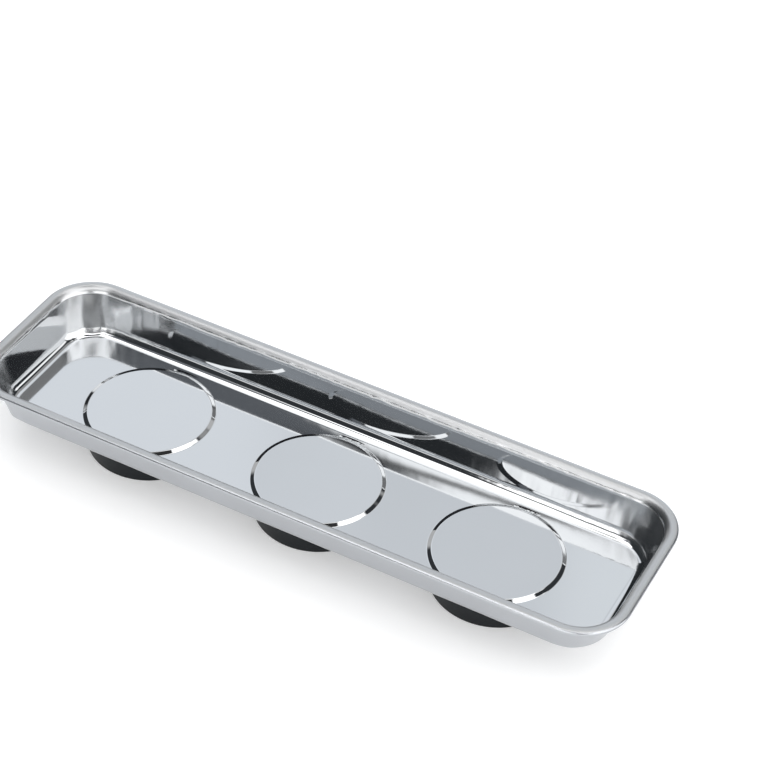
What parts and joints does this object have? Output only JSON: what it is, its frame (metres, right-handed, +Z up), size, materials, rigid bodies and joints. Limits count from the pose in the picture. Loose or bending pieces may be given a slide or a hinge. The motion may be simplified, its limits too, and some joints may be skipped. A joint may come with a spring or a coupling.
{
  "type": "magnetic parts tray",
  "caption": "Long shallow pressed stainless tray with raised floor discs, standing on grooved rubber boots that hold ring magnets; keeps small steel parts together and clings to steel.",
  "frame": {"origin": "middle of the tray in plan, on the surface that the boots stand on", "axes": "+X along the tray's length, +Y across its width, +Z up out of the tray's open top"},
  "size_m": [0.36, 0.1064, 0.0443],
  "materials": {
    "stainless": "mirror-polished inside, duller satin outside",
    "rubber": "moulded, slightly shiny",
    "ferrite": "ground ceramic ferrite, dark grey",
    "adhesive": "cured adhesive, cream"
  },
  "bodies": {
    "root": {"tray": "stainless", "left_boot": "rubber", "middle_boot": "rubber", "right_boot": "rubber", "left_magnet": "ferrite", "middle_magnet": "ferrite", "right_magnet": "ferrite", "left_adhesive_pad": "adhesive", "middle_adhesive_pad": "adhesive", "right_adhesive_pad": "adhesive"}
  },
  "joints": []
}
